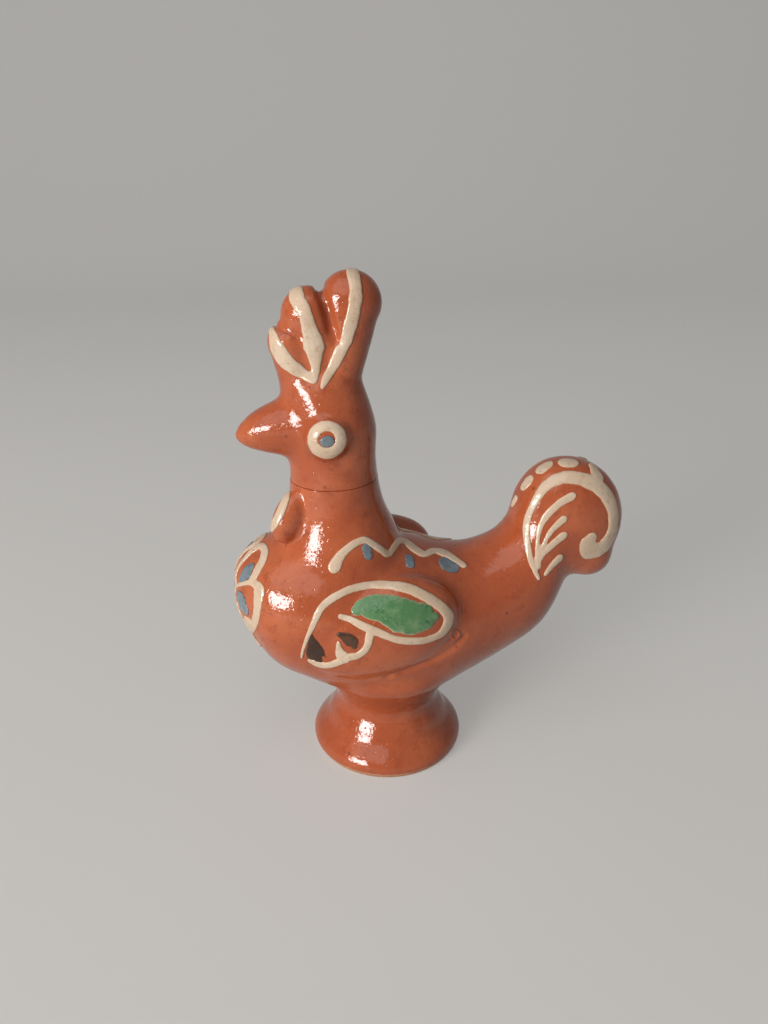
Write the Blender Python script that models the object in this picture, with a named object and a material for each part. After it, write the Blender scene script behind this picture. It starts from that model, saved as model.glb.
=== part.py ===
"""Glazed earthenware rooster whistle on a turned foot, decorated with raised slip trails.

The bird faces -X and its tail, which is the mouthpiece, points to +X. The foot stands on Z = 0
with its axis on Z. All lengths are in metres. The clay forms are worked into one body, the air
ways are cut out of it, and the slip is trailed over its surface.
"""
import math

import bmesh
import bpy
from mathutils import Matrix, Vector
from mathutils.bvhtree import BVHTree

# Foot, a turned cone
FOOT_RADIUS = 0.0203
FOOT_EDGE = 0.0018
WAIST_RADIUS = 0.0134
WAIST_HEIGHT = 0.0150

# Belly, from the breast to the root of the tail
BREAST_REACH = 0.0391
BELLY_LENGTH = 0.0746
BELLY_MIDDLE = 0.0410
BELLY_DEPTH = 0.0450
BELLY_WIDTH = 0.0425

# Neck and head, turned about one upright axis
NECK_X = -0.0131
NECK_RADIUS = 0.0105
NECK_HEIGHT = 0.0790
HEAD_RADIUS = 0.0106
HEAD_HEIGHT = 0.0902
BEAK_REACH = 0.0230
BEAK_RADIUS = 0.0068

# Comb of three lobes, pinched flat from side to side
COMB_BASE_HEIGHT = 0.1010
COMB_TOP_HEIGHT = 0.1252
COMB_THICKNESS = 0.0118

# Tail: a stem that turns up out of the belly, and a round lobe at its end
TAIL_X = 0.0470
TAIL_HEIGHT = 0.0626
TAIL_RADIUS = 0.0154
TAIL_THICKNESS = 0.0195

# Pellets pressed on each side
WING_X = -0.0050
WING_HEIGHT = 0.0434
WING_LENGTH = 0.0405
WING_DEPTH = 0.0255
WING_TILT = math.radians(12.0)
WING_FLARE = math.radians(7.0)
WING_OUT = 0.0232
FAR_WING_RISE = 0.0035
EYE_RADIUS = 0.0055
EYE_FORWARD = 0.0020
EYE_DROP = 0.0004
EYE_OUT = 0.0129
WATTLE_X = -0.0237
WATTLE_HEIGHT = 0.0700
WATTLE_LENGTH = 0.0134
WATTLE_WIDTH = 0.0086
WATTLE_TILT = math.radians(27.0)
WATTLE_OUT = 0.0094
FAR_WATTLE_DROP = 0.0055
FAR_WATTLE_SHIFT = 0.0020

# Air ways: chamber in the belly, bore and window in the stem, windway through the tail
WALL = 0.0055
BORE_WIDTH = 0.0070
BORE_FLOOR = 0.0382
BORE_CEILING = 0.0455
LABIUM_X = 0.0434
LABIUM_HEIGHT = 0.0406
LABIUM_RAMP = math.radians(65.0)
WINDWAY_GAP = 0.0016
WINDWAY_SLOPE = math.radians(52.0)
WINDOW_CUT = 0.0065

# Old break round the neck, glued
CRACK_HEIGHT = 0.0776
CRACK_GAP = 0.0003
CRACK_DEPTH = 0.0004

# Slip trailed over the surface, and how far its rounded edge starts below it
SLIP_WIDTH = 0.0022
SLIP_HEIGHT = 0.0005
SLIP_ROOT = 0.0005
SLIP_STEP = 0.0030
DOT_SIDES = 10

# Working the clay: grids of the blended surfaces, and the final number of faces
FORM_GRID = 0.0009
SLIP_GRID = 0.0005
FORM_PASSES = 24
PELLET_PASSES = 4
SLIP_PASSES = 2
BODY_FACES = 10200


def clear_scene():
    for item in list(bpy.data.objects):
        bpy.data.objects.remove(item, do_unlink=True)


def smooth_path(points, steps):
    """Points on a Catmull-Rom curve through the given tuples, with steps to each span."""
    rows = [Vector(p) for p in points]
    out = []
    for i in range(len(rows) - 1):
        before = rows[max(i - 1, 0)]
        start = rows[i]
        end = rows[i + 1]
        after = rows[min(i + 2, len(rows) - 1)]
        for k in range(steps):
            t = k / steps
            out.append(0.5 * (2 * start + (end - before) * t
                              + (2 * before - 5 * start + 4 * end - after) * t * t
                              + (3 * start - before - 3 * end + after) * t ** 3))
    out.append(rows[-1])
    return out


def loft(bm, rings, sides=32):
    """Skin over rings, each a centre and two half axes, with both ends capped."""
    previous = None
    for centre, half_u, half_v in rings:
        ring = [bm.verts.new(centre + math.cos(a) * half_u + math.sin(a) * half_v)
                for a in (math.tau * k / sides for k in range(sides))]
        edges = [bm.edges.new((ring[k - 1], ring[k])) for k in range(sides)]
        if previous is None:
            bm.faces.new(ring)
        else:
            bmesh.ops.bridge_loops(bm, edges=previous + edges)
        previous = edges
        last = ring
    bm.faces.new(last)


def side_rings(stations, steps=4):
    """Rings for a form that runs in the middle plane.

    A station is x, z, half thickness in the plane, half width across it, and the angle by
    which its section leans back from upright.
    """
    rings = []
    for x, z, thick, wide, lean in smooth_path(stations, steps):
        up = Vector((-math.sin(lean), 0, math.cos(lean)))
        rings.append((Vector((x, 0, z)), up * thick, Vector((0, wide, 0))))
    return rings


def upright_rings(stations, steps=4):
    """Level rings for a turned form. A station is x, z, radius along X and radius along Y."""
    rings = []
    for row in smooth_path(stations, steps):
        rings.append((Vector((row[0], 0, row[1])), Vector((row[2], 0, 0)), Vector((0, row[3], 0))))
    return rings


def ball(bm, centre, half_axes, turn=None):
    """Ellipsoid at a centre, turned by a rotation matrix."""
    place = Matrix.Translation(centre) @ (turn or Matrix()) @ Matrix.Diagonal((*half_axes, 1))
    bmesh.ops.create_uvsphere(bm, u_segments=40, v_segments=24, radius=1, matrix=place)


def make_stem(bm):
    """Stem of the foot, which widens into the belly."""
    stations = [
        (0, 0, 0.90 * WAIST_RADIUS, 0.90 * WAIST_RADIUS),
        (0, 0.60 * WAIST_HEIGHT, 0.98 * WAIST_RADIUS, 0.98 * WAIST_RADIUS),
        (0, WAIST_HEIGHT, WAIST_RADIUS, WAIST_RADIUS),
        (0, WAIST_HEIGHT + 0.0030, 1.06 * WAIST_RADIUS, 1.05 * WAIST_RADIUS),
        (0, WAIST_HEIGHT + 0.0065, 1.22 * WAIST_RADIUS, 1.17 * WAIST_RADIUS),
        (0, WAIST_HEIGHT + 0.0100, 1.38 * WAIST_RADIUS, 1.32 * WAIST_RADIUS),
        (0, WAIST_HEIGHT + 0.0130, 1.42 * WAIST_RADIUS, 1.37 * WAIST_RADIUS),
    ]
    loft(bm, upright_rings(stations), 48)


def make_foot(bm):
    below = -0.004
    profile = [
        (below, FOOT_RADIUS - 2.4 * FOOT_EDGE),
        (0, FOOT_RADIUS - 0.55 * FOOT_EDGE),
        (FOOT_EDGE, FOOT_RADIUS),
        (0.28 * WAIST_HEIGHT, 0.965 * FOOT_RADIUS),
        (0.55 * WAIST_HEIGHT, 0.83 * FOOT_RADIUS),
        (0.80 * WAIST_HEIGHT, 1.07 * WAIST_RADIUS),
        (WAIST_HEIGHT, WAIST_RADIUS),
        (WAIST_HEIGHT + 0.0020, WAIST_RADIUS),
    ]
    loft(bm, upright_rings([(0, z, r, r) for z, r in profile]), 48)


BELLY_SHAPE = (
    # share of the length, rise of the middle, depth and width of the section
    (0.000, 0.37, 0.06, 0.06),
    (0.020, 0.36, 0.30, 0.34),
    (0.070, 0.28, 0.56, 0.60),
    (0.130, 0.20, 0.74, 0.79),
    (0.235, 0.15, 0.90, 0.93),
    (0.360, 0.05, 1.00, 1.00),
    (0.520, -0.07, 1.00, 1.00),
    (0.680, -0.14, 0.89, 0.91),
    (0.770, -0.12, 0.79, 0.82),
)
TAIL_SHAPE = (
    # from the end of the belly: length, rise, half thickness, half width, lean in degrees
    (0.0080, 0.0027, 0.0158, 0.0149, 10),
    (0.0155, 0.0070, 0.0145, 0.0130, 28),
    (0.0192, 0.0125, 0.0120, 0.0115, 48),
    (0.0212, 0.0185, 0.0099, 0.0104, 64),
    (0.0240, 0.0240, 0.0096, 0.0098, 70),
)


def belly_stations():
    """Stations from the breast, along the belly, up the stem of the tail."""
    rows = []
    for along, rise, depth, width in BELLY_SHAPE:
        rows.append((-BREAST_REACH + along * BELLY_LENGTH, BELLY_MIDDLE + rise * BELLY_DEPTH / 2,
                     depth * BELLY_DEPTH / 2, width * BELLY_WIDTH / 2, 0))
    end_x, end_z = rows[-1][:2]
    for along, rise, thick, wide, lean in TAIL_SHAPE:
        rows.append((end_x + along, end_z + rise, thick, wide, math.radians(lean)))
    return rows


def make_belly(bm):
    loft(bm, side_rings(belly_stations()))


def make_tail(bm):
    lobe = Matrix.Rotation(math.radians(-20), 4, 'Y')
    ball(bm, Vector((TAIL_X, 0, TAIL_HEIGHT)),
         (TAIL_RADIUS * 0.95, TAIL_THICKNESS / 2, TAIL_RADIUS * 1.05), lobe)
    ball(bm, Vector((TAIL_X + 0.40 * TAIL_RADIUS, 0, TAIL_HEIGHT - 0.62 * TAIL_RADIUS)),
         (TAIL_RADIUS * 0.48, TAIL_THICKNESS * 0.42, TAIL_RADIUS * 0.52), lobe)


def make_neck(bm):
    shoulder = BELLY_MIDDLE + 0.008
    stations = [
        (NECK_X, shoulder, 0.0195, 0.0175),
        (NECK_X, shoulder + 0.008, 0.0175, 0.0165),
        (NECK_X + 0.0008, shoulder + 0.016, 0.0140, 0.0135),
        (NECK_X + 0.0003, shoulder + 0.022, 0.0117, 0.0115),
        (NECK_X, NECK_HEIGHT, NECK_RADIUS, NECK_RADIUS),
        (NECK_X - 0.0002, (NECK_HEIGHT + HEAD_HEIGHT) / 2, HEAD_RADIUS * 0.98, HEAD_RADIUS * 0.98),
        (NECK_X - 0.0002, HEAD_HEIGHT, HEAD_RADIUS, HEAD_RADIUS),
        (NECK_X - 0.0010, HEAD_HEIGHT + 0.0050, HEAD_RADIUS * 0.94, HEAD_RADIUS * 0.93),
        (NECK_X - 0.0024, COMB_BASE_HEIGHT, HEAD_RADIUS * 0.89, HEAD_RADIUS * 0.74),
        (NECK_X - 0.0026, COMB_BASE_HEIGHT + 0.004, HEAD_RADIUS * 0.8, HEAD_RADIUS * 0.5),
    ]
    loft(bm, upright_rings(stations))


def make_beak(bm):
    stations = []
    for reach, drop, size in ((0.22, -0.0004, 1.25), (0.58, 0.0000, 0.94), (0.80, 0.0006, 0.68),
                              (0.94, 0.0013, 0.38), (1.00, 0.0017, 0.14)):
        stations.append((NECK_X - reach * BEAK_REACH, HEAD_HEIGHT - drop,
                         BEAK_RADIUS * size, BEAK_RADIUS * size * 0.97, 0))
    loft(bm, side_rings(stations))


COMB_LOBES = (
    # foot of the lobe from the neck's axis, tip from it, share of the height, radius
    (0.0008, 0.0046, 1.00, 0.0072),
    (-0.0030, -0.0046, 0.87, 0.0063),
    (-0.0076, -0.0090, 0.57, 0.0052),
)


def make_comb(bm):
    height = COMB_TOP_HEIGHT - COMB_BASE_HEIGHT
    for foot, tip, share, radius in COMB_LOBES:
        top = COMB_BASE_HEIGHT + share * height - radius
        half = COMB_THICKNESS / 2 * (0.78 + 0.22 * share)
        stations = [
            (NECK_X + foot, COMB_BASE_HEIGHT - 0.005, radius * 0.80, half * 0.98),
            (NECK_X + foot, COMB_BASE_HEIGHT, radius * 0.84, half),
            (NECK_X + 0.5 * (foot + tip), (COMB_BASE_HEIGHT + top) / 2, radius * 0.92, half),
            (NECK_X + tip, top, radius, half),
        ]
        loft(bm, upright_rings(stations))
        ball(bm, Vector((NECK_X + tip, 0, top)), (radius, half, radius))
    web = Vector((NECK_X - 0.0012, 0, COMB_BASE_HEIGHT + 0.36 * height))
    ball(bm, web, (0.36 * height, 0.32 * COMB_THICKNESS, 0.46 * height))


def make_pellets(bm):
    for side in (-1, 1):
        far = side > 0
        lean = (Matrix.Rotation(side * math.radians(4), 4, 'Z')
                @ Matrix.Rotation(side * WING_FLARE, 4, 'X'))
        half_out = 0.0085
        rise = FAR_WING_RISE if far else 0
        ball(bm, Vector((WING_X, side * (WING_OUT - half_out), WING_HEIGHT + rise)),
             (WING_LENGTH / 2, half_out, WING_DEPTH / 2),
             lean @ Matrix.Rotation(-WING_TILT, 4, 'Y'))
        eye_half = 0.0044
        ball(bm, Vector((NECK_X - EYE_FORWARD, side * (EYE_OUT - eye_half),
                         HEAD_HEIGHT - EYE_DROP)), (EYE_RADIUS, eye_half, EYE_RADIUS))
        wattle_half = 0.0036
        splay = Matrix.Rotation(side * math.radians(-30), 4, 'Z')
        drop = FAR_WATTLE_DROP if far else 0
        back = FAR_WATTLE_SHIFT if far else 0
        ball(bm, Vector((WATTLE_X + back, side * (WATTLE_OUT - wattle_half),
                         WATTLE_HEIGHT - drop)),
             (WATTLE_WIDTH / 2, wattle_half, WATTLE_LENGTH / 2),
             splay @ Matrix.Rotation(WATTLE_TILT, 4, 'Y'))


def settle(obj):
    """Replace an object's mesh by what its modifiers make of it."""
    graph = bpy.context.evaluated_depsgraph_get()
    mesh = bpy.data.meshes.new_from_object(obj.evaluated_get(graph))
    obj.modifiers.clear()
    obj.data = mesh


def blended(name, bm, grid, passes):
    """Object whose overlapping forms are fused into one skin and smoothed."""
    mesh = bpy.data.meshes.new(name)
    bm.to_mesh(mesh)
    bm.free()
    obj = bpy.data.objects.new(name, mesh)
    bpy.context.collection.objects.link(obj)
    fuse = obj.modifiers.new("fuse", 'REMESH')
    fuse.mode = 'VOXEL'
    fuse.voxel_size = grid
    smooth = obj.modifiers.new("smooth", 'SMOOTH')
    smooth.factor = 0.5
    smooth.iterations = passes
    settle(obj)
    return obj


def modelled():
    """The clay bird before it is decorated, as a bmesh."""
    bm = bmesh.new()
    for make in (make_belly, make_stem, make_tail, make_neck, make_beak):
        make(bm)
    bmesh.ops.recalc_face_normals(bm, faces=bm.faces)
    form = blended("form", bm, FORM_GRID, FORM_PASSES)
    bm = bmesh.new()
    bm.from_mesh(form.data)
    bpy.data.objects.remove(form)
    for make in (make_foot, make_comb, make_pellets):
        make(bm)
    bmesh.ops.recalc_face_normals(bm, faces=bm.faces)
    clay = blended("clay", bm, FORM_GRID, PELLET_PASSES)
    bm = bmesh.new()
    bm.from_mesh(clay.data)
    bpy.data.objects.remove(clay)
    return bm


def solid(name, bm):
    """Closed form that cuts the body, drawn as a wire and left out of renders."""
    bmesh.ops.recalc_face_normals(bm, faces=bm.faces)
    mesh = bpy.data.meshes.new(name)
    bm.to_mesh(mesh)
    bm.free()
    obj = bpy.data.objects.new(name, mesh)
    obj.hide_render = True
    obj.display_type = 'WIRE'
    bpy.context.collection.objects.link(obj)
    return obj


def slab(bm, outline, half_width):
    """Outline in the middle plane, extruded to both sides of it."""
    near = [bm.verts.new((x, -half_width, z)) for x, z in outline]
    face = bm.faces.new(near)
    grown = bmesh.ops.extrude_face_region(bm, geom=[face])["geom"]
    moved = [v for v in grown if isinstance(v, bmesh.types.BMVert)]
    bmesh.ops.translate(bm, verts=moved, vec=(0, 2 * half_width, 0))


def ground_cutter():
    """Everything below the plane that the foot stands on."""
    bm = bmesh.new()
    depth = 0.02
    slab(bm, ((-0.05, -depth), (0.05, -depth), (0.05, 0), (-0.05, 0)), 0.05)
    return solid("ground_cut", bm)


def chamber_cutter():
    """Inside of the belly, one wall within its skin, rounded off at both ends."""
    middle = BELLY_LENGTH / 2 - BREAST_REACH
    shrink = 1 - 2 * WALL / BELLY_LENGTH
    stations = [(middle + (x - middle) * shrink, z, thick - WALL, wide - WALL, lean)
                for x, z, thick, wide, lean in belly_stations()[2:len(BELLY_SHAPE)]]
    ends = []
    for (x, z, thick, wide, lean), reach, share in ((stations[0], -0.5, 0.5),
                                                    (stations[-1], 1.0, 0.6)):
        ends.append((x + reach * WALL, z, share * thick, share * wide, lean))
    stations = [ends[0], *stations, ends[1]]
    bm = bmesh.new()
    loft(bm, side_rings(stations, 2), 24)
    return solid("chamber_cut", bm)


def bore_cutter():
    """Bore from the chamber to the window, with the ramp of the labium below the window."""
    run = WINDOW_CUT / math.tan(LABIUM_RAMP)
    front = BELLY_LENGTH * 0.6 - BREAST_REACH
    outline = (
        (front, BORE_FLOOR),
        (LABIUM_X - (LABIUM_HEIGHT - BORE_FLOOR), BORE_FLOOR),
        (LABIUM_X, LABIUM_HEIGHT),
        (LABIUM_X + run, LABIUM_HEIGHT - WINDOW_CUT),
        (LABIUM_X + run + WINDOW_CUT, LABIUM_HEIGHT - WINDOW_CUT),
        (LABIUM_X + run + WINDOW_CUT, BORE_CEILING),
        (front, BORE_CEILING),
    )
    bm = bmesh.new()
    slab(bm, outline, BORE_WIDTH / 2)
    return solid("bore_cut", bm)


def windway_cutter():
    """Thin flat way for the breath, from the rear of the tail down to the window.

    Its middle line, carried on past the window, meets the edge of the labium.
    """
    run = Vector((math.cos(WINDWAY_SLOPE), 0, math.sin(WINDWAY_SLOPE)))
    across = Vector((-run.z, 0, run.x)) * WINDWAY_GAP / 2
    edge = Vector((LABIUM_X, 0, LABIUM_HEIGHT))
    start = edge + run * (BORE_CEILING - 0.0002 - LABIUM_HEIGHT) / run.z
    end = start + run * 2.4 * TAIL_RADIUS
    corners = (start - across, end - across, end + across, start + across)
    bm = bmesh.new()
    slab(bm, [(c.x, c.z) for c in corners], BORE_WIDTH / 2)
    return solid("windway_cut", bm)


def crack_cutter():
    """Thin wedge round the neck, where it broke and was glued."""
    bm = bmesh.new()
    root = NECK_RADIUS - CRACK_DEPTH
    rim = NECK_RADIUS + 10 * CRACK_DEPTH
    gap = CRACK_GAP / 2 * (rim - root) / CRACK_DEPTH
    wedge = [bm.verts.new((NECK_X + x, 0, CRACK_HEIGHT + z))
             for x, z in ((root, 0), (rim, -gap), (rim, gap))]
    bmesh.ops.spin(bm, geom=[bm.faces.new(wedge)], cent=(NECK_X, 0, CRACK_HEIGHT),
                   axis=(0, 0, 1), angle=math.tau, steps=40, use_merge=True)
    inner = [f for f in bm.faces if len(f.verts) == 3]
    bmesh.ops.delete(bm, geom=inner, context='FACES_ONLY')
    bmesh.ops.remove_doubles(bm, verts=bm.verts, dist=0.00001)
    return solid("crack_cut", bm)


def cut(body, cutter):
    away = body.modifiers.new(cutter.name, 'BOOLEAN')
    away.operation = 'DIFFERENCE'
    away.object = cutter
    away.solver = 'EXACT'


RIM_ANGLES = (160, 139, 117, 95)


# Frames that the slip is drawn in. Each gives an origin, the two steps that a trail's points
# count in, and the direction in which they are pressed on the surface, for the near side.
def slip_frames(side):
    rise, drop, back = ((FAR_WING_RISE, FAR_WATTLE_DROP, FAR_WATTLE_SHIFT) if side > 0
                        else (0, 0, 0))
    tilt = math.radians(40)
    half = BELLY_DEPTH / 2
    height = COMB_TOP_HEIGHT - COMB_BASE_HEIGHT
    inward = Vector((0, 1, 0))
    turn = math.radians(35)

    def upright(x, z, unit_x, unit_z):
        return Vector((x, 0, z)), Vector((unit_x, 0, 0)), Vector((0, 0, unit_z)), inward

    frames = {
        "comb_front": (Vector((NECK_X, 0, COMB_BASE_HEIGHT)),
                       Vector((math.cos(turn), -math.sin(turn), 0)) * height,
                       Vector((0, 0, height)), Vector((math.sin(turn), math.cos(turn), 0))),
        "comb": upright(NECK_X, COMB_BASE_HEIGHT, height, height),
        "eye": upright(NECK_X - EYE_FORWARD, HEAD_HEIGHT, EYE_RADIUS, EYE_RADIUS),
        "wattle": upright(WATTLE_X + back, WATTLE_HEIGHT - drop, WATTLE_LENGTH / 2,
                          WATTLE_LENGTH / 2),
        "wing": upright(WING_X, WING_HEIGHT + rise, WING_LENGTH / 2, WING_DEPTH / 2),
        "tail": upright(TAIL_X, TAIL_HEIGHT, TAIL_RADIUS, TAIL_RADIUS),
        "shoulder": (Vector((0, 0, BELLY_MIDDLE)), Vector((half, 0, 0)),
                     Vector((0, math.sin(tilt), math.cos(tilt))) * half,
                     Vector((0, math.cos(tilt), -math.sin(tilt)))),
        "breast": (Vector((-BREAST_REACH / 2, 0, BELLY_MIDDLE)),
                   Vector((0, -BELLY_WIDTH / 2, 0)), Vector((0, 0, half)), Vector((1, 0, 0))),
    }
    for k, angle in enumerate(RIM_ANGLES):
        out = Vector((math.cos(math.radians(angle)), 0, math.sin(math.radians(angle))))
        frames["rim_%d" % k] = (Vector((TAIL_X, 0, TAIL_HEIGHT)), inward * -TAIL_RADIUS,
                                Vector((-out.z, 0, out.x)) * TAIL_RADIUS, -out)
    return frames


def ring_points(radius, width, count=12):
    return [(radius * math.cos(a), radius * math.sin(a), width)
            for a in (math.tau * k / count for k in range(count + 1))]


# Trails: frame, glaze, and points of two coordinates and a share of the slip's width
TRAILS = (
    ("comb", "cream", ((0.19, 0.93, 1.3), (0.22, 0.84, 1.5), (0.21, 0.70, 1.5), (0.17, 0.53, 1.3),
                       (0.08, 0.36, 1.1), (-0.03, 0.18, 0.9), (-0.10, 0.03, 0.7))),
    ("comb", "cream", ((-0.31, 0.79, 1.1), (-0.28, 0.66, 1.5), (-0.21, 0.51, 1.8),
                       (-0.16, 0.35, 1.9), (-0.16, 0.19, 1.5), (-0.19, 0.05, 0.9))),
    ("comb_front", "cream", ((-0.42, 0.44, 1.2), (-0.42, 0.35, 1.7), (-0.37, 0.26, 1.8),
                             (-0.26, 0.17, 1.5), (-0.14, 0.10, 1.2), (-0.03, 0.06, 1.0))),
    ("eye", "cream", ring_points(0.68, 1.35)),
    ("wattle", "cream", ((0.06, 0.80, 0.7), (-0.17, 0.46, 0.9), (-0.40, 0.04, 0.9),
                         (-0.58, -0.36, 0.7))),
    ("wing", "cream", ((-0.91, -0.36, 0.9), (-0.89, 0.02, 1.0), (-0.81, 0.35, 1.0),
                       (-0.67, 0.62, 1.0), (-0.48, 0.82, 1.0), (-0.22, 0.94, 1.0),
                       (0.08, 0.97, 1.1), (0.36, 0.91, 1.1), (0.62, 0.69, 1.1),
                       (0.82, 0.35, 1.2), (0.82, 0.14, 1.2), (0.66, 0.00, 1.0),
                       (0.42, -0.04, 1.0), (0.14, 0.10, 1.0), (-0.15, 0.30, 1.0),
                       (-0.46, 0.54, 0.9))),
    ("wing", "cream", ((-0.14, 0.18, 1.0), (-0.17, 0.04, 1.2), (-0.25, -0.14, 1.1),
                       (-0.44, -0.32, 1.2), (-0.63, -0.52, 1.1), (-0.75, -0.54, 0.9),
                       (-0.86, -0.40, 0.9))),
    ("wing", "cream", ((-0.52, 0.02, 1.0), (-0.50, -0.12, 1.4), (-0.49, -0.26, 1.1))),
    ("wing", "green", ((-0.27, 0.62, 0.6), (-0.15, 0.63, 1.5), (0.00, 0.64, 2.4),
                       (0.20, 0.54, 3.2), (0.40, 0.45, 3.2), (0.55, 0.42, 2.2),
                       (0.63, 0.42, 0.8))),
    ("wing", "brown", ((-0.84, 0.08, 0.5), (-0.79, -0.13, 1.3), (-0.73, -0.36, 1.3))),
    ("wing", "brown", ((-0.49, 0.21, 0.6), (-0.40, 0.12, 1.4), (-0.31, -0.01, 1.1))),
    ("tail", "cream", ((-0.69, -0.76, 0.8), (-0.82, -0.45, 0.9), (-0.86, -0.20, 0.9),
                       (-0.81, 0.10, 0.9), (-0.73, 0.37, 1.1), (-0.58, 0.62, 1.3),
                       (-0.40, 0.78, 1.5), (-0.17, 0.84, 1.6), (0.07, 0.82, 1.6),
                       (0.27, 0.72, 1.5), (0.48, 0.52, 1.4), (0.60, 0.25, 1.4),
                       (0.62, -0.06, 1.3), (0.52, -0.30, 1.4), (0.34, -0.42, 1.9),
                       (0.22, -0.33, 2.0), (0.20, -0.18, 1.2))),
    ("tail", "cream", ((-0.13, 0.58, 0.9), (-0.42, 0.36, 1.0), (-0.60, 0.10, 0.9),
                       (-0.69, -0.20, 0.8), (-0.70, -0.52, 0.7))),
    ("tail", "cream", ((-0.26, 0.20, 0.9), (-0.46, -0.03, 0.9), (-0.61, -0.25, 0.7))),
    ("tail", "cream", ((-0.25, -0.07, 0.9), (-0.46, -0.26, 0.9), (-0.60, -0.40, 0.7))),
    ("tail", "cream", ((-0.31, -0.46, 0.9), (-0.55, -0.70, 0.8))),
    ("shoulder", "cream", ((-0.67, 0.24, 1.2), (-0.57, 0.37, 1.1), (-0.46, 0.44, 1.0),
                           (-0.34, 0.48, 1.0), (-0.22, 0.44, 0.9), (-0.09, 0.36, 0.9),
                           (0.00, 0.44, 0.9), (0.10, 0.53, 0.9), (0.20, 0.51, 0.9),
                           (0.30, 0.41, 0.9), (0.38, 0.38, 0.9), (0.50, 0.43, 0.9),
                           (0.62, 0.40, 0.9), (0.71, 0.32, 0.9), (0.79, 0.24, 0.8))),
    ("breast", "cream", ((0.31, 0.53, 0.9), (0.42, 0.61, 1.0), (0.44, 0.70, 1.0),
                         (0.38, 0.79, 1.0), (0.26, 0.87, 1.0), (0.13, 0.88, 0.9),
                         (0.10, 0.78, 0.9), (0.12, 0.66, 0.9), (0.18, 0.55, 0.9),
                         (0.31, 0.53, 0.9))),
    ("breast", "cream", ((0.31, 0.53, 0.9), (0.44, 0.59, 1.0), (0.56, 0.54, 1.0),
                         (0.59, 0.42, 1.0), (0.55, 0.24, 1.0), (0.45, 0.06, 1.0),
                         (0.36, -0.10, 0.8), (0.25, 0.05, 0.9), (0.19, 0.24, 0.9),
                         (0.19, 0.40, 0.9), (0.31, 0.53, 0.9))),
)
# Dots: frame, glaze, two coordinates and the radius as a share of the slip's width
DOTS = (
    ("eye", "blue", 0.00, 0.00, 0.75),
    ("breast", "blue", 0.27, 0.70, 0.85),
    ("breast", "blue", 0.38, 0.34, 0.90),
    ("shoulder", "blue", -0.31, 0.36, 0.75),
    ("shoulder", "blue", 0.17, 0.30, 0.85),
    ("shoulder", "blue", 0.62, 0.24, 0.95),
)
RIM_DOTS = tuple(("rim_%d" % k, "cream", 0.06, 0.0, 0.62) for k in range(len(RIM_ANGLES)))
GLAZES = {
    "clay": ((0.47, 0.10, 0.035), 0.16),
    "cream": ((0.75, 0.58, 0.39), 0.20),
    "blue": ((0.10, 0.21, 0.30), 0.18),
    "green": ((0.06, 0.24, 0.10), 0.18),
    "brown": ((0.05, 0.028, 0.016), 0.20),
}


def glaze(name):
    colour, roughness = GLAZES[name]
    material = bpy.data.materials.new(name + "_glaze")
    material.use_nodes = True
    shader = material.node_tree.nodes["Principled BSDF"]
    shader.inputs["Base Color"].default_value = (*colour, 1)
    shader.inputs["Roughness"].default_value = roughness
    material.diffuse_color = (*colour, 1)
    return material


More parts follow.
